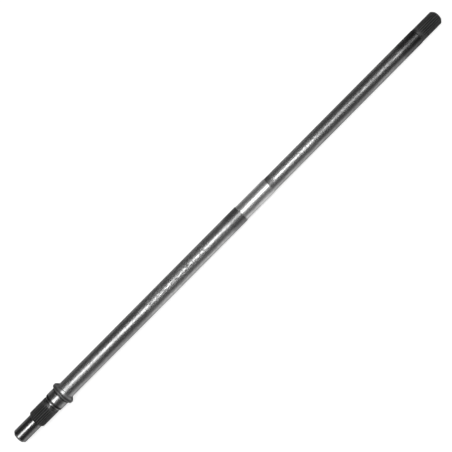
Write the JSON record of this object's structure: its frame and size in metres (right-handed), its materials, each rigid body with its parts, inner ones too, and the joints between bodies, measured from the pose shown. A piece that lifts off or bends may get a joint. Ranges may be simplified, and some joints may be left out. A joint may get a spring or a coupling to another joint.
{
  "type": "stepped shaft",
  "caption": "Long turned drive shaft with splined ends, a pilot spigot, a collar with a bearing seat and a ground journal.",
  "frame": {"origin": "centre of the collar's bearing face, on the shaft's axis", "axes": "+X along the shaft's axis, from the collar towards the long end; +Y and +Z across it, at a tooth space of both splines on +Z"},
  "size_m": [0.8582, 0.0368, 0.0366],
  "materials": {
    "steel": "turned and ground steel, heat-darkened teeth, bright ground bearing seats"
  },
  "bodies": {
    "root": {"stepped_shaft": "steel"}
  },
  "joints": []
}
